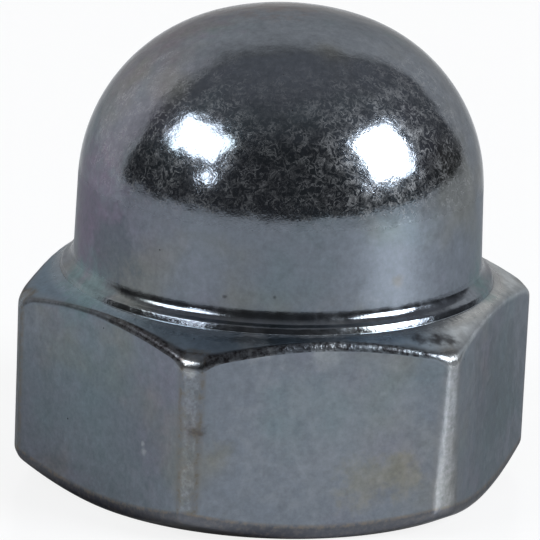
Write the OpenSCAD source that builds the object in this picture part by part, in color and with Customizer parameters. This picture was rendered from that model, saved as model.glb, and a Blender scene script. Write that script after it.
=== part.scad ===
// Domed cap nut: a hexagon with chamfered ends under a closed, crowned dome,
// with a blind threaded hole from below. The origin is the centre of the bearing
// face, +Z runs up the axis through the dome, and two corners lie on the X axis.

/* [Hexagon] */
// Width across flats, the spanner size
across_flats = 17; // [16.4:0.1:18]
// Height from the bearing face to the top of the upper chamfer
hex_h = 7.7; // [6.5:0.1:9]
// How far each upright corner is blunted, measured towards the axis
corner_blunt = 0.15; // [0.05:0.05:0.5]
// Slope of the upper chamfer, in degrees from level
top_slope = 26; // [15:1:35]
// Diameter of the flat bearing face
face_d = 16.4; // [15.5:0.1:16.8]
// Slope of the lower chamfer, in degrees from level
base_slope = 28; // [15:1:35]

/* [Neck] */
// Height of the plain ring above the upper chamfer
ring_h = 0.2; // [0.1:0.05:0.5]
// Radius of the fillet between the ring and the wall
neck_r = 0.35; // [0.2:0.05:0.5]

/* [Dome] */
// Overall height of the nut
nut_h = 17.6; // [17:0.1:19]
// Diameter of the wall where it leaves the neck
wall_d = 15.1; // [14.5:0.1:15.4]
// Lean of the wall towards the axis, in degrees
wall_draft = 1.5; // [0.5:0.5:3]
// Radius of the shoulder between the wall and the crown
shoulder_r = 6.4; // [5.6:0.1:6.8]
// Radius of the crown
crown_r = 9.7; // [9:0.1:11]

/* [Threaded hole] */
// Nominal diameter of the thread
thread_d = 10; // [8:1:10]
// Pitch of the thread
pitch = 1.5; // [1:0.25:1.5]
// Depth of the straight hole from the bearing face
bore_depth = 13; // [10:0.5:13.5]
// Full angle of the cone that closes the hole
point_angle = 120; // [110:1:140]
// Diameter of the countersink at the mouth
mouth_d = 10.8; // [10.4:0.1:11.4]
// Full angle of the countersink
mouth_angle = 120; // [90:5:120]

/* [Hidden] */
$fn = 160;
sides = 6;
turn = 360 / sides;
right_angle = 90;

// A thread's minor diameter is this many pitches below its nominal one
minor_pitches = 1.0825;
bore_r = (thread_d - minor_pitches * pitch) / 2;
mouth_r = mouth_d / 2;
mouth_depth = (mouth_r - bore_r) / tan(mouth_angle / 2);
point_h = bore_r / tan(point_angle / 2);

// Width across the corners, sharp and blunted
sharp_corners = across_flats / cos(turn / 2);
across_corners = sharp_corners - 2 * corner_blunt;

// Profile of the outside, as radius and height
reach = sharp_corners / 2;
face_r = face_d / 2;
wall_r = wall_d / 2;
ring_r = wall_r + neck_r;
wall_z = hex_h + ring_h + neck_r;
base_rise = (reach - face_r) * tan(base_slope);
top_fall = (reach - ring_r) * tan(top_slope);

// The shoulder touches the sloped wall from inside and the crown from inside
crown_z = nut_h - crown_r;
up_wall = [-sin(wall_draft), cos(wall_draft)];
out_wall = [cos(wall_draft), sin(wall_draft)];
from_crown = [wall_r, wall_z - crown_z] - shoulder_r * out_wall;
along = from_crown * up_wall;
shoulder_lift = -along + sqrt(along * along - from_crown * from_crown + (crown_r - shoulder_r) ^ 2);
shoulder_c = [wall_r, wall_z] - shoulder_r * out_wall + shoulder_lift * up_wall;
shoulder_start = shoulder_c + shoulder_r * out_wall;
crown_start_angle = atan2(shoulder_c.y - crown_z, shoulder_c.x);
// The shoulder stands this far proud of the wall and the crown, so that they meet in clean edges,
// and its slice starts this many degrees below level, inside the wall
shoulder_proud = 0.001;
shoulder_under = 30;

// A slice of a round disc between two angles
module disc_slice(r, from, to) {
    middle = (from + to) / 2;
    wedge = 2 * r;
    intersection() {
        circle(r = r);
        polygon([
            [0, 0],
            wedge * [cos(from), sin(from)],
            wedge * [cos(middle), sin(middle)],
            wedge * [cos(to), sin(to)]
        ]);
    }
}

// Half of the section that a lathe would leave: chamfers, ring, neck, wall and dome
module outer_profile() {
    difference() {
        union() {
            polygon([
                [0, 0],
                [face_r, 0],
                [reach, base_rise],
                [reach, hex_h - top_fall],
                [ring_r, hex_h],
                [ring_r, wall_z],
                [wall_r, wall_z],
                shoulder_start,
                [0, shoulder_start.y]
            ]);
            translate(shoulder_c)
                disc_slice(shoulder_r + shoulder_proud, -shoulder_under, right_angle);
            translate([0, crown_z])
                disc_slice(crown_r, crown_start_angle, right_angle);
        }
        translate([ring_r, wall_z])
            circle(r = neck_r);
    }
}

// Hexagon with two corners on the X axis, all corners blunted by one circle
module blunt_hexagon() {
    intersection() {
        circle(d = sharp_corners, $fn = sides);
        circle(d = across_corners);
    }
}

// Half of the section of the hole: countersink, straight bore and conical end
module hole_profile() {
    polygon([
        [0, -mouth_depth],
        [2 * mouth_r - bore_r, -mouth_depth],
        [bore_r, mouth_depth],
        [bore_r, bore_depth],
        [0, bore_depth + point_h]
    ]);
}

module cap_nut() {
    color("slategray")
        difference() {
            intersection() {
                linear_extrude(height = nut_h)
                    blunt_hexagon();
                rotate_extrude()
                    outer_profile();
            }
            rotate_extrude()
                hole_profile();
        }
}

cap_nut();
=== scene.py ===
import math
from functools import partial
import bpy
from mathutils import Matrix, Vector


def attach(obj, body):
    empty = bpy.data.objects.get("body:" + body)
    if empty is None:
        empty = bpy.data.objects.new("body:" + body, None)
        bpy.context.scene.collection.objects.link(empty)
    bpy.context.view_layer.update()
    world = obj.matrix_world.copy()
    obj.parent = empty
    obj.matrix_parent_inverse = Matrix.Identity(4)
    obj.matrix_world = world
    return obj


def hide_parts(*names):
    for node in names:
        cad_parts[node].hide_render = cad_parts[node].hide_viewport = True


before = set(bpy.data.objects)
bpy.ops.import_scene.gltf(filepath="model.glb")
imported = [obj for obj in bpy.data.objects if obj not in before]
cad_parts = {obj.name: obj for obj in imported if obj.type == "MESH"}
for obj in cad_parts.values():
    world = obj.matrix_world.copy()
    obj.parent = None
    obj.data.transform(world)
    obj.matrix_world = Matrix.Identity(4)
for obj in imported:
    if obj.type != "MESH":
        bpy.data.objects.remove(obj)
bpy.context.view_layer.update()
mm = 0.001
print("frame loaded")


def linear(hexColour):
    # sRGB hex to the linear colour that sockets take
    parts = [int(hexColour[i:i + 2], 16) / 255 for i in (1, 3, 5)]
    return [c / 12.92 if c <= 0.04045 else ((c + 0.055) / 1.055) ** 2.4 for c in parts] + [1.0]


def toward(side, elevation):
    # direction from the nut, by degrees to the right of the front and above level
    a, e = math.radians(side), math.radians(elevation)
    return Vector((math.sin(a) * math.cos(e), -math.cos(a) * math.cos(e), math.sin(e)))


def feed(tree, socket, source):
    # a node stands for its first live output, anything else that isn't a socket is a fixed value
    if isinstance(source, bpy.types.Node):
        source = next(s for s in source.outputs if s.enabled)
    if isinstance(source, bpy.types.NodeSocket):
        tree.links.new(source, socket)
    else:
        socket.default_value = source


def add(tree, kind, links=None, **settings):
    made = tree.nodes.new(kind)
    for name, value in settings.items():
        setattr(made, name, value)
    for key, source in (links or {}).items():
        ends = {key: source}
        if key in ("From", "To"):  # a pair, for Min and Max
            ends = {key + " Min": source[0], key + " Max": source[1]}
        for end, value in ends.items():
            named = [s for s in made.inputs if s.name == end and s.enabled]
            feed(tree, named[0] if named else made.inputs[end], value)
    return made


# The nut's shape, lengths in mm and angles in degrees, as in the part's source
nut = {
    "columns": 360,          # sections round the axis, a multiple of 6
    "bunching": 0.75,        # how much closer they stand at the corners
    "acrossFlats": 17.0,
    "acrossCorners": 19.28,  # over the blunted corners
    "cornerTaper": 0.04,     # the blunt strips grow wider downwards
    "highSkew": 0.03,        # and unevenly from corner to corner, at their upper and lower ends
    "lowSkew": -0.09,
    "skewTurns": -2.0,       # this often round the nut
    "cornerBlend": 0.08,     # softness of their long edges
    "wornBlend": 0.14,       # and of their upper ends
    "bluntFade": (-0.12, 0.06),  # overhang of the sharp hexagon where their wear sets in and is full
    "nearFade": (-0.3, 0.1),     # and where their upper ends get the wider rounding
    "hexHeight": 7.7,
    "faceDiameter": 16.4,
    "baseSlope": 28.0,
    "topSlope": 26.0,
    "ringHeight": 0.2,
    "neckRadius": 0.35,
    "neckAt": (0.63, 0.2),   # bend of the neck, out from the wall and up from the ring, in neck radii
    "flareAt": 0.57,         # height of the flare above the ring, in neck radii
    "flareOut": 0.06,        # the wall flares out by this much above the neck
    "flareRound": 0.45,
    "beadOut": 0.13,         # the ring leans out into a bead by this much at its foot
    "beadWobble": 0.08,      # unevenness of the bead
    "beadScale": 1500.0,     # and how fine it is, per metre
    "height": 17.6,
    "wallDiameter": 15.1,
    "wallDraft": 1.5,
    "shoulderRadius": 6.4,
    "crownRadius": 9.7,
    "threadDiameter": 10.0,
    "pitch": 1.5,
    "minorPitches": 1.0825,  # the minor diameter is this many pitches below the nominal one
    "threadRows": [          # rows of one turn: share of the pitch, share of the thread's depth
        (0.0, 0.0), (0.25, 0.0), (0.406, 0.5), (0.5625, 1.0), (0.6875, 1.0), (0.844, 0.5)],
    "runOut": (1.2, 0.2),    # the thread fades between these many pitches before the end of the bore
    "boreDepth": 13.0,
    "pointAngle": 120.0,
    "mouthDiameter": 10.8,
    "mouthAngle": 120.0,
    "mouthEdge": 0.05,       # narrow ring on each side of the mouth's edge
    "faceRound": 0.15,       # roundings left by tumbling and plating
    "lowerRound": 0.5,
    "upperRound": 0.3,
    "cornerRound": 0.55,     # at the upper end of the upright corners
    "beadRound": 0.03,
    "wornSide": -105.0,      # the upper edge is worn most on this side
    "wornTurn": (0.5, 0.95),  # cosine of the angle from it, and the share of the wear
    "wornShare": (0.4, 1.0),
    "soiledSide": -150.0,    # and soiled on this one
    "soiledTurn": (0.3, 0.8),
    "soiledShare": (0.0, 0.68),
    "nick": 0.06,            # raggedness of the upper edge
    "nickScale": 2200.0,     # and how fine it is, per metre
    "swell": 0.012,          # long unevenness of the formed surface
    "swellScale": 260.0,     # per metre
    "swellFrom": (0.2, 1.2),  # none of it below the first height, all of it above the second
    "lean": 0.07,            # the crown stands this far off the axis, to the right of the camera
    "leanAngle": -12.5,
    "sideRows": (0.08, 0.3, 0.55, 0.8),  # rows of points between two edges, as shares of the way
    "topRow": (0.965, 0.91),             # the last one on the side, in a flat and at a corner
    "coneRows": (0.42, 0.7),
    "beadRows": [(0.0, 0.14), (0.3, 0.5), (0.58, 0.86)],  # inwards and up
    "wallRows": (0.05, 0.5, 0.95),
    "seatRow": 0.92,
    "merge": 0.002,          # points closer than this become one
    "seed": 7.0,
}


def nutSizes(n):
    # the inputs of the tree: lengths in metres, with the ends of the dome's arcs worked out here
    wallR = n["wallDiameter"] / 2
    ringR = wallR + n["neckRadius"]
    ringTop = n["hexHeight"] + n["ringHeight"]
    wallZ = ringTop + n["neckRadius"]
    neckOut, neckUp = n["neckAt"]
    draft = math.radians(n["wallDraft"])
    upWall = Vector((-math.sin(draft), math.cos(draft)))
    outWall = Vector((math.cos(draft), math.sin(draft)))
    crownZ = n["height"] - n["crownRadius"]
    fromCrown = Vector((wallR, wallZ - crownZ)) - n["shoulderRadius"] * outWall
    along = fromCrown.dot(upWall)
    gap = n["crownRadius"] - n["shoulderRadius"]
    lift = -along + math.sqrt(along ** 2 - fromCrown.length_squared + gap ** 2)
    shoulderC = Vector((wallR, wallZ)) - n["shoulderRadius"] * outWall + lift * upWall
    shoulderStart = shoulderC + n["shoulderRadius"] * outWall
    turn = math.atan2(shoulderC.y - crownZ, shoulderC.x)
    corners = []  # where the tangents at both ends of each arc cross
    for centre, radius, a, b in ((shoulderC, n["shoulderRadius"], draft, turn),
                                 (Vector((0, crownZ)), n["crownRadius"], turn, math.pi / 2)):
        reach = radius / math.cos((b - a) / 2)
        corners.append(centre + reach * Vector((math.cos((a + b) / 2), math.sin((a + b) / 2))))
    boreR = (n["threadDiameter"] - n["minorPitches"] * n["pitch"]) / 2
    lengths = {
        "Half across flats": n["acrossFlats"] / 2,
        "Hexagon height": n["hexHeight"],
        "Face radius": n["faceDiameter"] / 2,
        "Ring radius": ringR,
        "Ring top": ringTop,
        "Bead radius": ringR + n["beadOut"],
        "Bead wobble": n["beadWobble"],
        "Corner radius": n["acrossCorners"] / 2,
        "Corner taper": n["cornerTaper"],
        "High skew": n["highSkew"],
        "Low skew": n["lowSkew"],
        "Corner blend": n["cornerBlend"],
        "Worn blend": n["wornBlend"],
        "Neck radius": wallR + n["neckRadius"] * neckOut,
        "Neck": ringTop + n["neckRadius"] * neckUp,
        "Flare radius": wallR + n["flareOut"],
        "Flare": ringTop + n["neckRadius"] * n["flareAt"],
        "Flare rounding": n["flareRound"],
        "Wall radius": wallR,
        "Wall foot": wallZ,
        "Wall end radius": shoulderStart.x,
        "Wall end": shoulderStart.y,
        "Shoulder corner radius": corners[0].x,
        "Shoulder corner": corners[0].y,
        "Shoulder rounding": n["shoulderRadius"],
        "Crown corner radius": corners[1].x,
        "Crown rounding": n["crownRadius"],
        "Top": n["height"],
        "Face rounding": n["faceRound"],
        "Lower rounding": n["lowerRound"],
        "Upper rounding": n["upperRound"],
        "Corner rounding": n["cornerRound"],
        "Bead rounding": n["beadRound"],
        "Nick": n["nick"],
        "Lean X": n["lean"] * math.cos(math.radians(n["leanAngle"])),
        "Lean Y": n["lean"] * math.sin(math.radians(n["leanAngle"])),
        "Swell": n["swell"],
        "Mouth radius": n["mouthDiameter"] / 2,
        "Mouth edge": n["mouthEdge"],
        "Bore radius": boreR,
        "Thread depth": n["threadDiameter"] / 2 - boreR,
        "Pitch": n["pitch"],
        "Bore depth": n["boreDepth"],
        "Bore tip": n["boreDepth"] + boreR / math.tan(math.radians(n["pointAngle"] / 2)),
    }
    sizes = {name: value * mm for name, value in lengths.items()}
    sizes["Columns"] = n["columns"]
    sizes["Base slope"] = math.tan(math.radians(n["baseSlope"]))
    sizes["Top slope"] = math.tan(math.radians(n["topSlope"]))
    sizes["Mouth slope"] = math.tan(math.radians(n["mouthAngle"] / 2))
    sizes["Worn side"] = math.radians(n["wornSide"])
    sizes["Soiled side"] = math.radians(n["soiledSide"])
    sizes["Seed"] = n["seed"]
    return sizes


def nutTree(n, sizes, material):
    tree = bpy.data.node_groups.new("capNutShape", "GeometryNodeTree")
    for name, value in sizes.items():
        kind = "NodeSocketInt" if isinstance(value, int) else "NodeSocketFloat"
        tree.interface.new_socket(name, in_out="INPUT", socket_type=kind)
    tree.interface.new_socket("Geometry", in_out="OUTPUT", socket_type="NodeSocketGeometry")
    put = partial(add, tree)
    size = put("NodeGroupInput").outputs
    index = put("GeometryNodeInputIndex")
    flats = 6
    sector = math.tau / flats

    def angleOf(column):
        # angle of a section and its part from the middle of the flat; sections bunch at the corners
        share = put("ShaderNodeMath", {0: column, 1: size["Columns"]}, operation="DIVIDE")
        sectors = put("ShaderNodeMath", {0: share, 1: flats}, operation="MULTIPLY")
        whole = put("ShaderNodeMath", {0: sectors}, operation="FLOOR")
        part = put("ShaderNodeMath", {0: sectors}, operation="FRACT")
        side = put("ShaderNodeMath", {0: part, 1: 2.0, 2: -1.0}, operation="MULTIPLY_ADD")
        quarter = put("ShaderNodeMath", {0: side, 1: math.pi / 2}, operation="MULTIPLY")
        bunched = put("ShaderNodeMath", {0: quarter}, operation="SINE")
        mixed = put("ShaderNodeMix", {"Factor": n["bunching"], "A": side, "B": bunched})
        fromFlat = put("ShaderNodeMath", {0: mixed, 1: sector / 2}, operation="MULTIPLY")
        flat = put("ShaderNodeMath", {0: whole, 1: sector, 2: sector / 2}, operation="MULTIPLY_ADD")
        return put("ShaderNodeMath", {0: flat, 1: fromFlat}, operation="ADD"), fromFlat

    def around(radius, angle, height):
        cosine = put("ShaderNodeMath", {0: angle}, operation="COSINE")
        sine = put("ShaderNodeMath", {0: angle}, operation="SINE")
        x = put("ShaderNodeMath", {0: radius, 1: cosine}, operation="MULTIPLY")
        y = put("ShaderNodeMath", {0: radius, 1: sine}, operation="MULTIPLY")
        return put("ShaderNodeCombineXYZ", {0: x, 1: y, 2: height})

    # outside: every section is a polyline through the stations below, with rounded corners
    stationCount = put("FunctionNodeInputInt")  # set when they are listed
    column = put("FunctionNodeIntegerMath", {0: index, 1: stationCount}, operation="DIVIDE_FLOOR")
    station = put("FunctionNodeIntegerMath", {0: index, 1: stationCount}, operation="MODULO")
    angle, fromFlat = angleOf(column)

    # hexagon as a polar curve: flats, and blunted corners that blend into them
    facing = put("ShaderNodeMath", {0: fromFlat}, operation="COSINE")
    flatR = put("ShaderNodeMath", {0: size["Half across flats"], 1: facing}, operation="DIVIDE")
    narrow = put("ShaderNodeMath", {0: size["Corner radius"], 1: size["Corner taper"]}, operation="SUBTRACT")
    skew = put("ShaderNodeMath", {0: angle, 1: n["skewTurns"]}, operation="MULTIPLY")
    skew = put("ShaderNodeMath", {0: skew}, operation="SINE")
    lowR, highR = [
        put("ShaderNodeMath", {0: skew, 1: size[amount], 2: r}, operation="MULTIPLY_ADD")
        for amount, r in (("Low skew", narrow), ("High skew", size["Corner radius"]))]
    hexLow, hexHigh, hexWorn = [
        put("ShaderNodeMath", {0: flatR, 1: r, 2: size[blend]}, operation="SMOOTH_MIN")
        for r, blend in ((lowR, "Corner blend"), (highR, "Corner blend"), (highR, "Worn blend"))]
    pastLow, pastHigh = [put("ShaderNodeMath", {0: flatR, 1: r}, operation="SUBTRACT") for r in (lowR, highR)]
    bluntLow, bluntHigh, nearCorner = [
        put("ShaderNodeMapRange", {"Value": past, "From": [end * mm for end in n[fade]]},
            interpolation_type="SMOOTHSTEP")
        for past, fade in ((pastLow, "bluntFade"), (pastHigh, "bluntFade"), (pastHigh, "nearFade"))]
    wearing = []
    for way, turn, share in (("Worn side", "wornTurn", "wornShare"),
                             ("Soiled side", "soiledTurn", "soiledShare")):
        away = put("ShaderNodeMath", {0: angle, 1: size[way]}, operation="SUBTRACT")
        away = put("ShaderNodeMath", {0: away}, operation="COSINE")
        wearing.append(put("ShaderNodeMapRange", {"Value": away, "From": n[turn], "To": n[share]},
                           interpolation_type="SMOOTHSTEP"))
    edgeWear, edgeSoil = wearing
    edgeSoil = put("ShaderNodeMath", {0: edgeSoil, 1: edgeWear}, operation="MAXIMUM")

    # where both chamfers meet the flats, the upper one a little ragged
    past = put("ShaderNodeMath", {0: hexLow, 1: size["Face radius"]}, operation="SUBTRACT")
    lowZ = put("ShaderNodeMath", {0: past, 1: size["Base slope"]}, operation="MULTIPLY")
    rim = around(hexHigh, angle, 0.0)
    uneven = []
    for scale, amount in (("nickScale", "Nick"), ("beadScale", "Bead wobble")):
        noise = put("ShaderNodeTexNoise", {"Vector": rim, "W": size["Seed"], "Scale": n[scale],
                                           "Detail": 2.0}, noise_dimensions="4D")
        noise = put("ShaderNodeMath", {0: noise.outputs[0], 1: 0.5}, operation="SUBTRACT")
        uneven.append(put("ShaderNodeMath", {0: noise, 1: size[amount]}, operation="MULTIPLY"))
    ragged, wobble = uneven
    coneEnds = []
    for r in (hexHigh, size["Bead radius"]):
        over = put("ShaderNodeMath", {0: r, 1: size["Ring radius"]}, operation="SUBTRACT")
        fall = put("ShaderNodeMath", {0: over, 1: size["Top slope"]}, operation="MULTIPLY")
        coneEnds.append(put("ShaderNodeMath", {0: size["Hexagon height"], 1: fall}, operation="SUBTRACT"))
    highZ, beadZ = coneEnds
    highZ = put("ShaderNodeMath", {0: highZ, 1: ragged}, operation="ADD")
    endRound = put("ShaderNodeMath", {0: size["Upper rounding"], 1: edgeWear}, operation="MULTIPLY")
    endRound = put("ShaderNodeMix", {"Factor": nearCorner, "A": endRound, "B": size["Corner rounding"]})

    # rows between the edges
    inFlat, atCorner = n["topRow"]
    sideRows = (*n["sideRows"], put("ShaderNodeMix", {"Factor": nearCorner, "A": inFlat, "B": atCorner}))
    between = []
    for rows, low, high in ((sideRows, hexLow, hexHigh), (sideRows, lowZ, highZ),
                            (sideRows, bluntLow, bluntHigh),
                            (n["coneRows"], hexHigh, size["Bead radius"]), (n["coneRows"], highZ, beadZ),
                            (n["wallRows"], size["Wall radius"], size["Wall end radius"]),
                            (n["wallRows"], size["Wall foot"], size["Wall end"])):
        between.append([put("ShaderNodeMix", {"Factor": f, "A": low, "B": high}) for f in rows])
    sideR, sideZ, sideBlunt, coneR, coneZ, wallR, wallZ = between
    ringTop = put("ShaderNodeMath", {0: wobble, 1: 0.5, 2: size["Ring top"]}, operation="MULTIPLY_ADD")
    bead = []
    for inward, rise in n["beadRows"]:
        r = put("ShaderNodeMix", {"Factor": inward, "A": size["Bead radius"], "B": size["Ring radius"]})
        level = put("ShaderNodeMix", {"Factor": rise, "A": beadZ, "B": size["Ring top"]})
        bead.append((r, put("ShaderNodeMath", {0: wobble, 1: rise, 2: level}, operation="MULTIPLY_ADD")))
    mouthR = put("ShaderNodeMath", {0: size["Mouth radius"], 1: size["Mouth edge"]}, operation="ADD")
    seatR = put("ShaderNodeMix", {"Factor": n["seatRow"], "A": size["Mouth radius"],
                                  "B": size["Face radius"]})

    # radius, height, rounding, steps of the rounding, then wear of the upper edge, of the corner,
    # and of the foot (below 0) or the chamfer (above 0)
    sharp = (0.0, 1)
    clean = (0.0, 0.0, 0.0)
    beadRound, flareRound = size["Bead rounding"], size["Flare rounding"]
    stations = [
        (size["Mouth radius"], 0.0, *sharp, *clean),
        (mouthR, 0.0, *sharp, *clean),
        (seatR, 0.0, *sharp, *clean),
        (size["Face radius"], 0.0, size["Face rounding"], 3, 0.0, 0.0, -1.0),
        (hexLow, lowZ, size["Lower rounding"], 6, 0.0, 0.0, -1.0),
        *[(r, z, *sharp, 0.0, blunt, 0.0) for r, z, blunt in zip(sideR, sideZ, sideBlunt)],
        (hexWorn, highZ, endRound, 6, edgeSoil, bluntHigh, 0.5),
        *[(r, z, *sharp, 0.0, 0.0, 1.0) for r, z in zip(coneR, coneZ)],
        (size["Bead radius"], beadZ, beadRound, 2, 0.0, 0.0, 0.6),
        *[(r, z, beadRound, 2, *clean) for r, z in bead],
        (size["Ring radius"], ringTop, beadRound, 3, *clean),
        (size["Neck radius"], size["Neck"], beadRound, 3, *clean),
        (size["Flare radius"], size["Flare"], flareRound, 7, *clean),
        (wallR[0], wallZ[0], flareRound, 4, *clean),
        *[(r, z, *sharp, *clean) for r, z in zip(wallR[1:], wallZ[1:])],
        (size["Shoulder corner radius"], size["Shoulder corner"], size["Shoulder rounding"], 24, *clean),
        (size["Crown corner radius"], size["Top"], size["Crown rounding"], 16, *clean),
        (0.0, size["Top"], *sharp, *clean),
    ]
    stationCount.integer = len(stations)
    picked = []
    for values in zip(*stations):
        kind = "INT" if isinstance(values[0], int) else "FLOAT"
        switch = put("GeometryNodeIndexSwitch", {"Index": station}, data_type=kind)
        for extra in values[2:]:
            switch.index_switch_items.new()
        for slot, value in enumerate(values):
            feed(tree, switch.inputs[slot + 1], value)
        picked.append(switch)
    radius, height, rounding, steps, edge, corner, zone = picked
    pointCount = put("FunctionNodeIntegerMath", {0: size["Columns"], 1: stationCount}, operation="MULTIPLY")
    points = put("GeometryNodePoints", {"Count": pointCount, "Position": around(radius, angle, height)})
    worn = put("ShaderNodeCombineXYZ", {0: edge, 1: corner, 2: zone})
    marked = put("GeometryNodeStoreNamedAttribute", {"Geometry": points, "Name": "wear", "Value": worn},
                 data_type="FLOAT_VECTOR", domain="POINT")
    sections = put("GeometryNodePointsToCurves",
                   {"Points": marked, "Curve Group ID": column, "Weight": station})
    rounded = put("GeometryNodeFilletCurve", {"Curve": sections, "Count": steps, "Radius": rounding},
                  mode="POLY")
    domain = put("GeometryNodeAttributeDomainSize", {"Geometry": rounded}, component="CURVE")
    sampled = domain.outputs["Point Count"]
    rowCount = put("FunctionNodeIntegerMath", {0: sampled, 1: size["Columns"]}, operation="DIVIDE")
    columnCount = put("FunctionNodeIntegerMath", {0: size["Columns"], 1: 1}, operation="ADD")
    skin = put("GeometryNodeMeshGrid", {"Vertices X": columnCount, "Vertices Y": rowCount})
    wrapped = put("FunctionNodeIntegerMath", {0: index, 1: sampled}, operation="MODULO")
    place = put("GeometryNodeInputPosition")
    wear = put("GeometryNodeInputNamedAttribute", {"Name": "wear"}, data_type="FLOAT_VECTOR")
    onSection, onWear = [
        put("GeometryNodeSampleIndex", {"Geometry": rounded, "Value": value, "Index": wrapped},
            data_type="FLOAT_VECTOR", domain="POINT")
        for value in (place, wear)]
    outside = put("GeometryNodeStoreNamedAttribute",
                  {"Geometry": skin.outputs["Mesh"], "Name": "wear", "Value": onWear},
                  data_type="FLOAT_VECTOR", domain="POINT")
    outside = put("GeometryNodeSetPosition", {"Geometry": outside, "Position": onSection})

    # hole: after the mouth's edge the rows follow the helix and end in the drill's cone
    perTurn = len(n["threadRows"])
    endRows = 3  # the mouth's edge, the end of the bore and the tip
    turns = put("ShaderNodeMath", {0: size["Bore depth"], 1: size["Pitch"]}, operation="DIVIDE")
    turns = put("ShaderNodeMath", {0: turns}, operation="CEIL")
    holeRows = put("FunctionNodeIntegerMath", {0: turns, 1: perTurn, 2: perTurn + endRows},
                   operation="MULTIPLY_ADD")
    wall = put("GeometryNodeMeshGrid", {"Vertices X": columnCount, "Vertices Y": holeRows})
    helixColumn = put("FunctionNodeIntegerMath", {0: index, 1: holeRows}, operation="DIVIDE_FLOOR")
    row = put("FunctionNodeIntegerMath", {0: index, 1: holeRows}, operation="MODULO")
    helixAngle = angleOf(helixColumn)[0]
    helixRow = put("FunctionNodeIntegerMath", {0: row, 1: 1}, operation="SUBTRACT")
    helixRow = put("FunctionNodeIntegerMath", {0: helixRow, 1: 0}, operation="MAXIMUM")
    rowTurn = put("FunctionNodeIntegerMath", {0: helixRow, 1: perTurn}, operation="DIVIDE_FLOOR")
    rowPart = put("FunctionNodeIntegerMath", {0: helixRow, 1: perTurn}, operation="MODULO")
    flanks = []
    for values in zip(*n["threadRows"]):
        switch = put("GeometryNodeIndexSwitch", {"Index": rowPart}, data_type="FLOAT")
        for extra in values[2:]:
            switch.index_switch_items.new()
        for slot, value in enumerate(values):
            feed(tree, switch.inputs[slot + 1], value)
        flanks.append(switch)
    rise = put("ShaderNodeMath", {0: helixAngle, 1: math.tau}, operation="DIVIDE")
    for step in (flanks[0], rowTurn, -1.0):  # the helix starts a turn below the face
        rise = put("ShaderNodeMath", {0: rise, 1: step}, operation="ADD")
    rise = put("ShaderNodeMath", {0: rise, 1: size["Pitch"]}, operation="MULTIPLY")
    boreZ = put("ShaderNodeClamp", {"Value": rise, "Min": size["Mouth edge"], "Max": size["Bore depth"]})
    isEdge = put("FunctionNodeCompare", {"A": row, "B": 0}, data_type="INT", operation="EQUAL")
    boreZ = put("GeometryNodeSwitch", {"Switch": isEdge, "False": boreZ, "True": 0.0}, input_type="FLOAT")
    fadeEnds = [
        put("ShaderNodeMath", {0: size["Pitch"], 1: -pitches, 2: size["Bore depth"]},
            operation="MULTIPLY_ADD")
        for pitches in n["runOut"]]
    fade = put("ShaderNodeMapRange", {"Value": boreZ, "From": fadeEnds, "To": (1.0, 0.0)})
    cut = put("ShaderNodeMath", {0: flanks[1], 1: fade}, operation="MULTIPLY")
    threadR = put("ShaderNodeMath", {0: cut, 1: size["Thread depth"], 2: size["Bore radius"]},
                  operation="MULTIPLY_ADD")
    sunk = put("ShaderNodeMath", {0: boreZ, 1: size["Mouth slope"]}, operation="MULTIPLY")
    sunk = put("ShaderNodeMath", {0: size["Mouth radius"], 1: sunk}, operation="SUBTRACT")
    holeR = put("ShaderNodeMath", {0: threadR, 1: sunk}, operation="MAXIMUM")
    lastRow = put("FunctionNodeIntegerMath", {0: holeRows, 1: 1}, operation="SUBTRACT")
    isTip = put("FunctionNodeCompare", {"A": row, "B": lastRow}, data_type="INT", operation="EQUAL")
    holeR, holeZ = [
        put("GeometryNodeSwitch", {"Switch": isTip, "False": usual, "True": atTip}, input_type="FLOAT")
        for usual, atTip in ((holeR, 0.0), (boreZ, size["Bore tip"]))]
    hole = put("GeometryNodeSetPosition", {"Geometry": wall.outputs["Mesh"],
                                           "Position": around(holeR, helixAngle, holeZ)})
    hole = put("GeometryNodeFlipFaces", {"Mesh": hole})

    # one closed skin, with the long unevenness of a formed blank
    both = put("GeometryNodeJoinGeometry")
    tree.links.new(hole.outputs[0], both.inputs[0])
    tree.links.new(outside.outputs[0], both.inputs[0])
    closed = put("GeometryNodeMergeByDistance", {"Geometry": both, "Distance": n["merge"] * mm})
    level = put("ShaderNodeSeparateXYZ", {0: place}).outputs["Z"]
    lifted = put("ShaderNodeMapRange", {"Value": level, "From": [end * mm for end in n["swellFrom"]]})
    wave = put("ShaderNodeTexNoise", {"Vector": place, "W": size["Seed"], "Scale": n["swellScale"],
                                      "Detail": 1.0}, noise_dimensions="4D")
    wave = put("ShaderNodeMath", {0: wave.outputs[0], 1: 0.5}, operation="SUBTRACT")
    for factor in (size["Swell"], lifted):
        wave = put("ShaderNodeMath", {0: wave, 1: factor}, operation="MULTIPLY")
    normal = put("GeometryNodeInputNormal")
    push = put("ShaderNodeVectorMath", {0: normal, "Scale": wave}, operation="SCALE")
    leaning = put("ShaderNodeMapRange", {"Value": level, "From": (size["Wall end"], size["Top"])})
    lean = put("ShaderNodeCombineXYZ", {0: size["Lean X"], 1: size["Lean Y"]})
    lean = put("ShaderNodeVectorMath", {0: lean, "Scale": leaning}, operation="SCALE")
    push = put("ShaderNodeVectorMath", {0: push, 1: lean}, operation="ADD")
    formed = put("GeometryNodeSetPosition", {"Geometry": closed, "Offset": push})
    smooth = put("GeometryNodeSetShadeSmooth", {"Geometry": formed, "Shade Smooth": True})
    real = put("GeometryNodeRealizeInstances", {"Geometry": smooth})
    dressed = put("GeometryNodeSetMaterial", {"Geometry": real, "Material": material})
    put("NodeGroupOutput", {"Geometry": dressed})
    return tree


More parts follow.
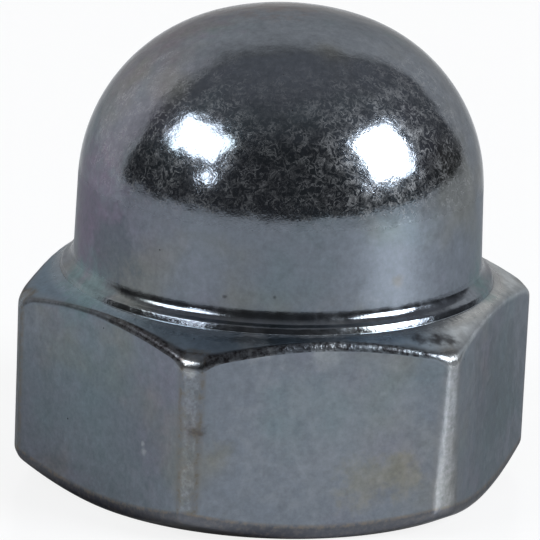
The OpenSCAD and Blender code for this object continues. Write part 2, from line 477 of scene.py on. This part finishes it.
def makeNut(n, material):
    sizes = nutSizes(n)
    tree = nutTree(n, sizes, material)
    blank = bpy.data.objects.new("nutBlank", bpy.data.meshes.new("nutBlank"))
    bpy.context.collection.objects.link(blank)
    modifier = blank.modifiers.new("capNutShape", "NODES")
    modifier.node_group = tree
    for socket in tree.interface.items_tree:
        if socket.in_out == "INPUT":
            modifier[socket.identifier] = sizes[socket.name]
    evaluated = blank.evaluated_get(bpy.context.evaluated_depsgraph_get())
    mesh = bpy.data.meshes.new_from_object(evaluated)
    mesh.name = "capNutBody"
    blank.modifiers.remove(modifier)
    bpy.data.objects.remove(blank)
    body = bpy.data.objects.new("capNutBody", mesh)
    bpy.context.collection.objects.link(body)
    return body


# Zinc on cold-formed steel: barrel plated, then blue passivated. A half-bright metal skin with curly dull
# marks in its polish, faint violet, teal and straw tints of the thin film, small pits and brown stains,
# and painted shade and painted light in some blotches, the foot and the corner strips
plating = {
    "metal": "#7d838b",
    "edgeTint": 0.5,          # how much light the film lets back at a glancing angle
    "tints": {
        "violet": "#7c6d80", "straw": "#8b8468", "teal": "#678384", "rose": "#7d706b", "pale": "#b6b8b8",
        "rust": "#8c7a60", "slate": "#626a70", "stain": "#4b4037", "grime": "#262122", "foot": "#626368",
        "bare": "#8b8985", "blue": "#7c8a96", "soil": "#6d665b", "shade": "#24242e", "pit": "#2c2a2a"},
    "noises": {               # size in mm, detail, roughness, distortion
        "cloud": (4.0, 3.0, 0.5, 0.0),
        "smudge": (0.625, 4.0, 0.65, 0.0),
        "mottle": (0.5, 5.0, 0.65, 0.0),
        "crumb": (0.2, 3.0, 0.7, 0.0),
        "grain": (0.13, 2.0, 0.55, 0.8),  # the real grain is finer, this shows at the size of the picture
        "curl": (0.26, 2.0, 0.5, 1.0),
        "wave": (0.8, 1.0, 0.5, 0.0),
    },
    "noiseSpan": (0.3, 0.7),  # where most of a noise lies
    "zones": {                # heights over which each zone sets in, in mm
        "aboveHex": (7.3, 7.6),
        "belowNeck": (8.45, 8.25),
        "onDome": (11.0, 12.0),
        "polished": (11.1, 11.8),
    },
    "soiledFrom": (-4.0, 0.0),     # x in mm: soiled on this side, less on the other
    "soiledShare": (1.0, 0.25),
    "cloudFrom": (0.5, 0.72),      # where a cloud takes its tint, and how much of it
    "cloudTint": (0.0, 0.28),
    "paleFrom": (3.4, 5.2),        # x in mm: the chamfer's film turns from blue to pale, a painted light towards the right lamp
    "mottleTone": (0.89, 1.11),
    "pitSpacing": 0.9,
    "pitRadius": 0.05,
    "pitCells": (0.7, 1.0),        # cells above this chance get a pit, the last the largest
    "pitSoft": 0.015,
    "pitDeep": 0.005,
    "pitRough": 0.3,
    "fleckFrom": (0.38, 0.62),
    "edgeFrom": (0.35, 0.85),      # wear of the upper edge at which it is soiled
    "footRagged": 0.5,
    "footFrom": (0.1, 1.1),
    "footShade": (0.0, 0.9),       # share of the shade in the foot
    "shadeTop": (0.75, 0.25),      # over these heights, and x, in mm
    "shadeFrom": (-2.4, 0.0),
    "shadeShare": (1.0, 0.2),
    "cornerSheenShare": (0.6, 0.25),      # painted sheen: the corner strips lighter, on the clean side and the soiled one
    "speckle": (0.9, 1.1),
    "cornerSpeckle": (0.72, 1.3),
    "cornerFuzz": (0.6, 1.3),
    "soilLine": 3.2,               # strength of the lines along the corners and above the foot
    "rustLine": 2.0,
    "edgeClean": (0.9, 0.1),       # how much soil the upper edge keeps along the flats and at the corners
    "edgeStain": 0.65,
    "polish": 0.12,                # roughness of the dome, of the wall below it, of the hexagon and chamfer
    "wall": 0.31,
    "flats": 0.3,
    "chamfer": 0.56,
    "chamferFront": 0.3,           # rubbed smoother on this side
    "frontWay": (-0.375, -0.927, 0.0),
    "frontFrom": (5.6, 7.4),
    "haze": (0.0, 0.12),           # extra roughness in the mottling, and its share on the wall and dome
    "hazeFrom": (0.4, 0.75),
    "hazeShare": (1.0, 0.3),
    "edge": 0.32,
    "glint": 0.22,                 # where the worn edge crosses a corner
    "film": "#e2e3e6",             # what the dull film lets through
    "filmRough": 0.47,
    "filmIor": 2.0,                # zinc oxide
    "curlWidth": (0.11, 0.005),
    "curlsBroken": (0.38, 0.62, 0.22),  # what thins the curls: where from and to, and the least that stays
    "curlsChopped": (0.38, 0.58, 0.5),
    "curlsFacing": (0.8, 0.55, 0.0),
    "curlsCrown": (17.2, 15.8, 0.25),
    "waveHigh": 0.022,             # heights of the relief, in mm
    "waveShare": (0.3, 1.0),       # on the wall and the dome
    "grainHigh": 0.004,
    "crumbHigh": 0.04,
    "crumbCorner": (1.0, 0.4),     # corners stay cleaner
    "crumbSide": (1.2, 0.4),       # lower on the soiled side
    "rippleHigh": 0.012,           # on the bead of the neck
    "rippleTop": (7.95, 7.85),
    "blotchSmudge": 2.0,           # how far the borders of blotches wander, in their radii
    "blotchCore": 0.2,             # full strength within this share of the radius
    "blotches": [                  # tint, strength, radius and middle, in mm
        ("straw", 0.40, 1.3, (1.6, -8.5, 2.2)),
        ("straw", 0.45, 1.2, (2.9, -8.5, 2.45)),
        ("straw", 0.25, 0.7, (-3.7, -8.5, 3.4)),
        ("violet", 0.60, 3.4, (-7.4, -1.2, 10.6)),
        # painted shade: the lower wall darker on the left, where it mirrors the table in the right lamp's
        # shadow
        ("slate", 0.70, 2.5, (-6.9, -3.0, 9.6)),
        ("teal", 0.50, 1.6, (-7.5, -2.6, 7.75)),
        ("teal", 0.60, 1.0, (-7.7, -0.9, 7.95)),
        ("teal", 0.60, 1.1, (7.0, -3.6, 8.1)),
        # painted shade: the right face darker, where it mirrors the table in the left lamp's shadow; the
        # violet and teal also tint it
        ("violet", 0.25, 3.0, (7.4, -4.3, 4.4)),
        ("teal", 0.30, 4.0, (7.4, -4.0, 3.5)),
        ("slate", 0.55, 5.0, (7.6, -3.6, 3.8)),
        # painted shade: the left faces darker, where they mirror the table in the right lamp's shadow; the
        # teal also tints them
        ("teal", 0.18, 5.0, (-7.0, -4.5, 4.0)),
        ("slate", 0.35, 4.5, (-6.5, -5.5, 3.5)),
        ("slate", 0.50, 4.5, (-9.3, -0.6, 3.2)),
        # painted light: the front face lighter, where it mirrors the table lit by both lamps
        ("pale", 0.15, 5.5, (1.0, -8.5, 4.0)),
        ("violet", 0.35, 4.0, (-3.5, 1.5, 15.8)),
        ("violet", 0.30, 3.0, (3.5, 2.0, 15.8)),
        ("rose", 0.60, 3.4, (-0.2, 2.2, 17.2)),
        ("pale", 0.40, 0.2, (-6.08, -6.47, 2.9)),
        ("pale", 0.40, 0.16, (-6.1, -6.43, 3.2)),
        # painted sheen: the front chamfer lighter in its middle
        ("pale", 0.45, 1.0, (-2.5, -8.0, 7.45)),
        ("pale", 0.40, 1.2, (0.0, -8.25, 7.4)),
        # painted reflection: a dark smear on the chamfer near the right front corner
        ("grime", 0.80, 0.5, (3.7, -7.8, 7.33)),
        ("grime", 0.85, 0.5, (4.3, -7.6, 7.32)),
        ("grime", 0.80, 0.45, (4.8, -7.5, 7.2)),
        # painted highlight: the glint at the top of the left front corner made whiter
        ("pale", 0.90, 0.5, (-5.0, -8.2, 6.75)),
        ("stain", 0.80, 0.5, (-4.62, -8.45, 4.3)),
        ("grime", 0.60, 0.11, (-3.39, -6.73, 8.79)),
        ("grime", 0.60, 0.10, (-1.69, -7.34, 8.9)),
        ("rust", 0.25, 0.4, (2.91, -6.94, 9.28)),
    ],
}


def zincPlate(p):
    material = bpy.data.materials.new("zincPlatedSteelBarrelFinish")
    material.use_nodes = True
    tree = material.node_tree
    put = partial(add, tree)
    shader = tree.nodes["Principled BSDF"]
    shader.inputs["Metallic"].default_value = 1.0
    shader.inputs["Specular Tint"].default_value = (p["edgeTint"],) * 3 + (1.0,)
    tints = {name: linear(value) for name, value in p["tints"].items()}
    where = put("ShaderNodeTexCoord").outputs["Object"]
    place = put("ShaderNodeVectorMath", {0: where, "Scale": 1 / mm}, operation="SCALE")  # in mm
    split = put("ShaderNodeSeparateXYZ", {0: place})
    right, height = split.outputs["X"], split.outputs["Z"]
    worn = put("ShaderNodeAttribute", attribute_name="wear", attribute_type="GEOMETRY")
    worn = put("ShaderNodeSeparateXYZ", {0: worn.outputs["Vector"]})
    edge, corner, zone = worn.outputs
    edge = put("ShaderNodeMapRange", {"Value": edge, "From": p["edgeFrom"]}, interpolation_type="SMOOTHSTEP")
    soiled = put("ShaderNodeMapRange", {"Value": right, "From": p["soiledFrom"], "To": p["soiledShare"]})
    at = {}
    for name, span in p["zones"].items():
        at[name] = put("ShaderNodeMapRange", {"Value": height, "From": span}, interpolation_type="SMOOTHSTEP")
    noise = {}
    for name, (length, detail, rough, bend) in p["noises"].items():
        noise[name] = put("ShaderNodeTexNoise", {"Vector": place, "Scale": 1 / length, "Detail": detail,
                                                 "Roughness": rough, "Distortion": bend}).outputs
    mottle, crumb, grain = noise["mottle"][0], noise["crumb"][0], noise["grain"][0]
    tone, fuzz, fine, coarse = [
        put("ShaderNodeMapRange", {"Value": source, "From": p["noiseSpan"], "To": p[name]})
        for source, name in ((mottle, "mottleTone"), (mottle, "cornerFuzz"),
                             (crumb, "speckle"), (crumb, "cornerSpeckle"))]

    # film tints in clouds
    cloud = put("ShaderNodeSeparateColor", {0: noise["cloud"]["Color"]}).outputs
    colour = linear(p["metal"])
    for channel, name in (("Red", "violet"), ("Green", "straw"), ("Blue", "teal")):
        share = put("ShaderNodeMapRange", {"Value": cloud[channel], "From": p["cloudFrom"],
                                           "To": p["cloudTint"]}, interpolation_type="SMOOTHSTEP")
        colour = put("ShaderNodeMix", {"Factor": share, "A": colour, "B": tints[name]}, data_type="RGBA")
    # thicker film on the chamfer, blue, and pale on the right side: painted light where the right lamp falls
    toRight = put("ShaderNodeMapRange", {"Value": right, "From": p["paleFrom"]})
    film = put("ShaderNodeMix", {"Factor": toRight, "A": tints["blue"], "B": tints["pale"]}, data_type="RGBA")
    colour = put("ShaderNodeMix", {"Factor": zone, "A": colour, "B": film}, data_type="RGBA",
                 clamp_factor=True)

    # blotches with smudged borders, then mottling in fine clouds
    smudge = put("ShaderNodeVectorMath", {0: noise["smudge"]["Color"], 1: (0.5, 0.5, 0.5)},
                 operation="SUBTRACT")
    for name, strength, radius, middle in p["blotches"]:
        shifted = put("ShaderNodeVectorMath", {0: smudge, 1: (radius * p["blotchSmudge"],) * 3, 2: place},
                      operation="MULTIPLY_ADD")
        away = put("ShaderNodeVectorMath", {0: shifted, 1: middle}, operation="DISTANCE").outputs["Value"]
        share = put("ShaderNodeMapRange", {"Value": away, "From": (radius, radius * p["blotchCore"]),
                                           "To": (0.0, strength)}, interpolation_type="SMOOTHSTEP")
        colour = put("ShaderNodeMix", {"Factor": share, "A": colour, "B": tints[name]}, data_type="RGBA")
    colour = put("ShaderNodeVectorMath", {0: colour, "Scale": tone}, operation="SCALE")

    # pits, in some of the cells only
    cells = put("ShaderNodeTexVoronoi", {"Vector": place, "Scale": 1 / p["pitSpacing"]}).outputs
    chance = put("ShaderNodeSeparateColor", {0: cells["Color"]}).outputs["Red"]
    size = put("ShaderNodeMapRange", {"Value": chance, "From": p["pitCells"],
                                      "To": (0.0, p["pitRadius"] / p["pitSpacing"])})
    inside = put("ShaderNodeMath", {0: size, 1: cells["Distance"]}, operation="SUBTRACT")
    pit = put("ShaderNodeMapRange", {"Value": inside, "From": (-p["pitSoft"], p["pitSoft"])},
              interpolation_type="SMOOTHSTEP")

    # a dark foot with a ragged border; painted shade darkens its lower part, most on the soiled side, for the
    # table's shadow that it mirrors; and painted sheen lightens the corner strips
    foot = put("ShaderNodeMath", {0: crumb, 1: -p["footRagged"], 2: p["footRagged"] / 2},
               operation="MULTIPLY_ADD")
    foot = put("ShaderNodeMath", {0: foot, 1: zone}, operation="SUBTRACT")
    foot = put("ShaderNodeMapRange", {"Value": foot, "From": p["footFrom"]}, interpolation_type="SMOOTHSTEP")
    # painted shade: the foot darker towards its bottom on the left, standing in for the mirrored shadow of
    # the table
    shade = put("ShaderNodeMapRange", {"Value": height, "From": p["shadeTop"], "To": p["footShade"]})
    shadeSide = put("ShaderNodeMapRange", {"Value": right, "From": p["shadeFrom"], "To": p["shadeShare"]})
    for factor in (shadeSide, foot):
        shade = put("ShaderNodeMath", {0: shade, 1: factor}, operation="MULTIPLY")
    # painted sheen: the corner strips lighter, where their rounding mirrors the lamps
    bare = put("ShaderNodeMapRange", {"Value": soiled, "To": p["cornerSheenShare"]})
    bare = put("ShaderNodeMath", {0: corner, 1: bare}, operation="MULTIPLY")
    for share, name in ((pit, "pit"), (foot, "foot"), (shade, "shade"), (bare, "bare")):
        colour = put("ShaderNodeMix", {"Factor": share, "A": colour, "B": tints[name]}, data_type="RGBA")
    speckle = put("ShaderNodeMix", {"Factor": corner, "A": fine, "B": coarse})
    colour = put("ShaderNodeVectorMath", {0: colour, "Scale": speckle}, operation="SCALE")

    # dirt: fuzzy lines along the corners, a brown border above the foot, stain and flecks on the upper edge
    fleck = put("ShaderNodeMapRange", {"Value": crumb, "From": p["fleckFrom"]})
    fuzzy = put("ShaderNodeMath", {0: corner, 1: fuzz}, operation="MULTIPLY", use_clamp=True)
    soilLine = put("ShaderNodeMath", {0: soiled, 1: p["soilLine"]}, operation="MULTIPLY")
    clean = put("ShaderNodeMapRange", {"Value": corner, "To": p["edgeClean"]})
    worst = put("ShaderNodeMath", {0: edge, 1: edge}, operation="MULTIPLY")
    notFuzzy, notFoot = [
        put("ShaderNodeMath", {0: 1.0, 1: band}, operation="SUBTRACT") for band in (fuzzy, foot)]
    for name, share, factors in (("soil", notFuzzy, (fuzzy, soilLine, fleck)),
                                 ("rust", notFoot, (foot, p["rustLine"], fleck)),
                                 ("stain", edge, (soiled, p["edgeStain"], clean)),
                                 ("grime", worst, (fleck, clean))):
        for factor in factors:
            share = put("ShaderNodeMath", {0: share, 1: factor}, operation="MULTIPLY")
        colour = put("ShaderNodeMix", {"Factor": share, "A": colour, "B": tints[name]}, data_type="RGBA")
    feed(tree, shader.inputs["Base Color"], colour)

    # the dome took the barrel's polish, the wall and the hexagon stay duller
    front = put("ShaderNodeVectorMath", {0: place, 1: p["frontWay"]}, operation="DOT_PRODUCT")
    cone = put("ShaderNodeMapRange", {"Value": front.outputs["Value"], "From": p["frontFrom"],
                                      "To": (p["chamfer"], p["chamferFront"])})
    neck = put("ShaderNodeMath", {0: at["belowNeck"], 1: at["aboveHex"]}, operation="MULTIPLY")
    rough = put("ShaderNodeMix", {"Factor": at["polished"], "A": p["wall"], "B": p["polish"]})
    rough = put("ShaderNodeMix", {"Factor": at["aboveHex"], "A": p["flats"], "B": rough})
    rough = put("ShaderNodeMix", {"Factor": zone, "A": rough, "B": cone}, clamp_factor=True)
    rough = put("ShaderNodeMix", {"Factor": neck, "A": rough, "B": p["polish"]})
    haze = put("ShaderNodeMapRange", {"Value": mottle, "From": p["hazeFrom"], "To": p["haze"]})
    hazeShare = put("ShaderNodeMapRange", {"Value": at["onDome"], "To": p["hazeShare"]})
    rough = put("ShaderNodeMath", {0: haze, 1: hazeShare, 2: rough}, operation="MULTIPLY_ADD")
    glint = put("ShaderNodeMath", {0: edge, 1: corner}, operation="MULTIPLY")
    for share, value in ((edge, p["edge"]), (glint, p["glint"])):
        rough = put("ShaderNodeMix", {"Factor": share, "A": rough, "B": value})
    rough = put("ShaderNodeMath", {0: pit, 1: p["pitRough"], 2: rough}, operation="MULTIPLY_ADD")
    feed(tree, shader.inputs["Roughness"], rough)

    # dull passivation film in curly marks: where a smooth noise crosses its middle, broken up by two others
    curl = put("ShaderNodeMath", {0: noise["curl"][0], 1: 0.5}, operation="SUBTRACT")
    curl = put("ShaderNodeMath", {0: curl}, operation="ABSOLUTE")
    curl = put("ShaderNodeMapRange", {"Value": curl, "From": p["curlWidth"]}, interpolation_type="SMOOTHSTEP")
    curl = put("ShaderNodeMath", {0: curl, 1: at["onDome"]}, operation="MULTIPLY")
    facing = put("ShaderNodeLayerWeight", {"Blend": 0.5}).outputs["Facing"]
    for source, name in ((mottle, "curlsBroken"), (grain, "curlsChopped"), (facing, "curlsFacing"),
                         (height, "curlsCrown")):
        start, end, least = p[name]
        thinned = put("ShaderNodeMapRange", {"Value": source, "From": (start, end), "To": (least, 1.0)},
                      interpolation_type="SMOOTHSTEP")
        curl = put("ShaderNodeMath", {0: curl, 1: thinned}, operation="MULTIPLY")
    feed(tree, shader.inputs["Coat Weight"], curl)
    shader.inputs["Coat Roughness"].default_value = p["filmRough"]
    shader.inputs["Coat IOR"].default_value = p["filmIor"]
    shader.inputs["Coat Tint"].default_value = linear(p["film"])

    # relief in mm: long waves, grain, crumbs at the upper edge, pits, ripples on the bead
    waves = put("ShaderNodeMapRange", {"Value": at["onDome"], "To": p["waveShare"]})
    waves = put("ShaderNodeMath", {0: noise["wave"][0], 1: waves}, operation="MULTIPLY")
    relief = put("ShaderNodeMath", {0: waves, 1: p["waveHigh"]}, operation="MULTIPLY")
    atCorner = put("ShaderNodeMapRange", {"Value": corner, "To": p["crumbCorner"]})
    atSide = put("ShaderNodeMapRange", {"Value": soiled, "To": p["crumbSide"]})
    crumbs = crumb
    for factor in (worst, atCorner, atSide):
        crumbs = put("ShaderNodeMath", {0: crumbs, 1: factor}, operation="MULTIPLY")
    ripples = put("ShaderNodeMapRange", {"Value": height, "From": p["rippleTop"]})
    for factor in (at["aboveHex"], crumb):
        ripples = put("ShaderNodeMath", {0: ripples, 1: factor}, operation="MULTIPLY")
    for pattern, high in ((grain, p["grainHigh"]), (crumbs, p["crumbHigh"]), (pit, -p["pitDeep"]),
                          (ripples, p["rippleHigh"])):
        relief = put("ShaderNodeMath", {0: pattern, 1: high, 2: relief}, operation="MULTIPLY_ADD")
    bump = put("ShaderNodeBump", {"Height": relief, "Strength": 1.0, "Distance": mm})
    feed(tree, shader.inputs["Normal"], bump)
    return material


zinc = zincPlate(plating)
nutBody = makeNut(nut, zinc)
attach(nutBody, "root")
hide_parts("cap_nut")
print("cap nut made:", len(nutBody.data.vertices), "points,", len(nutBody.data.polygons), "faces")

# Camera, fitted to the outline of the nut; lengths in mm, angles in degrees
camera = {
    "azimuth": -12.53,
    "elevation": 16.7,
    "roll": 2.48,
    "distance": 239.2,
    "targetRight": -0.258,
    "targetHeight": 7.663,
    "frameWidth": 19.975,    # what the frame spans at the target
    "sensor": 36.0,
    "clipStart": 10.0,
}


def placeCamera(c):
    back = toward(c["azimuth"], c["elevation"])
    right = toward(c["azimuth"] + 90, 0)
    target = right * c["targetRight"] * mm + Vector((0, 0, c["targetHeight"] * mm))
    data = bpy.data.cameras.new("photoCamera")
    data.sensor_width = c["sensor"]
    data.lens = c["sensor"] * c["distance"] / c["frameWidth"]
    data.clip_start = c["clipStart"] * mm
    eye = bpy.data.objects.new("photoCamera", data)
    turn = Matrix((right, back.cross(right), back)).transposed().to_4x4()
    spin = Matrix.Rotation(math.radians(c["roll"]), 4, "Z")
    eye.matrix_world = Matrix.Translation(target + back * c["distance"] * mm) @ turn @ spin
    bpy.context.collection.objects.link(eye)
    bpy.context.scene.camera = eye


placeCamera(camera)

# Stage: a glossy pale table with a pale screen curving round behind it, in a dim room, lit by soft boxes
stage = {
    "tableHalf": 900.0,
    "tableFront": 200.0,      # the table ends this far before the nut
    "tableDrop": 0.02,        # and lies a hair below it, so that no two faces share a plane
    "tableColour": "#e6e7e8",
    "tableRough": 0.2,
    "white": 0.85,            # how much of the table's own white the camera sees in place of its shadows
    "whiteInMetal": 0.15,     # and how much of it metal and glass show
    "screenRadius": 700.0,
    "screenColour": "#f2f1f2",
    "screenRough": 0.9,
    "screen": [               # angle to the right of the camera, top edge in degrees, brightness low and high
        (-100, 22, 0.62, 0.60), (-107, 38, 0.76, 0.74), (-115, 46, 0.90, 0.85), (-130, 54, 1.00, 0.80),
        (-150, 55, 1.00, 0.62), (-170, 57, 0.86, 0.70), (-190, 55, 0.86, 0.72), (-205, 52, 0.98, 0.78),
        (-218, 38, 0.90, 0.80), (-230, 20, 0.85, 0.80)],
    "screenRows": [           # share of the top edge's angle, then of the low and the high brightness
        (0.0, 1.0, 0.0), (0.35, 0.75, 0.25), (0.84, 0.0, 1.0), (1.08, 0.0, 0.25)],
    "roomColour": "#f6f8ff",
    "ceiling": 0.30,          # light of the room: most from behind overhead, least from the front
    "room": 0.054,
    "roomTilt": 60.0,
    "roomSpan": (0.22, 1.0),  # cosine of the angle from its brightest part
    "boxColour": "#f3f9ff",
    "boxAim": 9.0,            # height that the boxes face
    "boxes": [                # angle to the right of the camera, elevation, distance, width, height, radiance
        (-60.5, 37.0, 700.0, 405.0, 225.0, 8.4),
        (69.5, 29.0, 700.0, 325.0, 335.0, 19.8),
        (-45.0, 18.5, 700.0, 50.0, 50.0, 19.0),
    ],
}


def makeStage(s, front):
    table = bpy.data.materials.new("whiteAcrylicTable")
    screen = bpy.data.materials.new("matPaperScreen")
    for material, name in ((table, "table"), (screen, "screen")):
        material.use_nodes = True
        tree = material.node_tree
        put = partial(add, tree)
        shader = tree.nodes["Principled BSDF"]
        shader.inputs["Base Color"].default_value = linear(s[name + "Colour"])
        shader.inputs["Roughness"].default_value = s[name + "Rough"]
        rays = put("ShaderNodeLightPath").outputs
        seen = put("ShaderNodeMath", {0: rays["Is Camera Ray"], 1: s["white"]}, operation="MULTIPLY")
        inMetal = s["whiteInMetal"] if material is table else 1.0
        for kind in ("Is Glossy Ray", "Is Transmission Ray"):
            seen = put("ShaderNodeMath", {0: rays[kind], 1: inMetal, 2: seen}, operation="MULTIPLY_ADD",
                       use_clamp=True)
        glow = put("ShaderNodeEmission", {"Color": (1.0, 1.0, 1.0, 1.0), "Strength": 1.0})
        if material is screen:
            bright = put("ShaderNodeAttribute", attribute_name="brightness").outputs["Fac"]
            feed(tree, glow.inputs["Strength"], bright)
        both = put("ShaderNodeMixShader", {0: seen, 1: shader.outputs[0], 2: glow})
        feed(tree, tree.nodes["Material Output"].inputs["Surface"], both)
    half, near, under = s["tableHalf"], -s["tableFront"], -s["tableDrop"]
    tableCorners = [(-half, near, under), (half, near, under), (half, half, under), (-half, half, under)]
    places = []
    levels = []
    for share, low, high in s["screenRows"]:
        for side, top, lowLevel, highLevel in s["screen"]:
            foot = toward(front + side, 0) * s["screenRadius"]
            places.append((foot.x, foot.y, math.tan(math.radians(top * share)) * s["screenRadius"]))
            levels.append(low * lowLevel + high * highLevel)
    count = len(s["screen"])
    quads = [(i, i + 1, i + 1 + count, i + count) for i in range(len(places) - count) if (i + 1) % count]
    for name, corners, faces, material in (("tableTop", tableCorners, [(0, 1, 2, 3)], table),
                                           ("screen", places, quads, screen)):
        mesh = bpy.data.meshes.new(name)
        mesh.from_pydata([Vector(p) * mm for p in corners], [], faces)
        mesh.materials.append(material)
        if material is screen:
            mesh.attributes.new("brightness", "FLOAT", "POINT").data.foreach_set("value", levels)
        sheet = bpy.data.objects.new(name, mesh)
        bpy.context.collection.objects.link(sheet)
    aim = Vector((0, 0, s["boxAim"] * mm))
    for number, (side, elevation, distance, width, height, radiance) in enumerate(s["boxes"]):
        away = toward(front + side, elevation)
        lamp = bpy.data.lights.new("softBox%d" % number, "AREA")
        lamp.shape = "RECTANGLE"
        lamp.color = linear(s["boxColour"])[:3]
        lamp.size = width * mm
        lamp.size_y = height * mm
        lamp.energy = radiance * math.pi * lamp.size * lamp.size_y
        box = bpy.data.objects.new(lamp.name, lamp)
        turn = away.to_track_quat("Z", "Y").to_matrix().to_4x4()
        box.matrix_world = Matrix.Translation(aim + away * distance * mm) @ turn
        box.visible_camera = False
        bpy.context.collection.objects.link(box)
    world = bpy.data.worlds.new("dimRoom")
    world.use_nodes = True
    put = partial(add, world.node_tree)
    background = world.node_tree.nodes["Background"]
    way = put("ShaderNodeTexCoord").outputs["Generated"]
    brightest = toward(front + 180, s["roomTilt"])
    near = put("ShaderNodeVectorMath", {0: way, 1: brightest}, operation="DOT_PRODUCT").outputs["Value"]
    level = put("ShaderNodeMapRange", {"Value": near, "From": s["roomSpan"], "To": (s["room"], s["ceiling"])})
    feed(world.node_tree, background.inputs["Strength"], level)
    background.inputs["Color"].default_value = linear(s["roomColour"])
    bpy.context.scene.world = world


makeStage(stage, camera["azimuth"])
bpy.context.scene.view_settings.view_transform = "Standard"
print("stage, lamps and camera set")
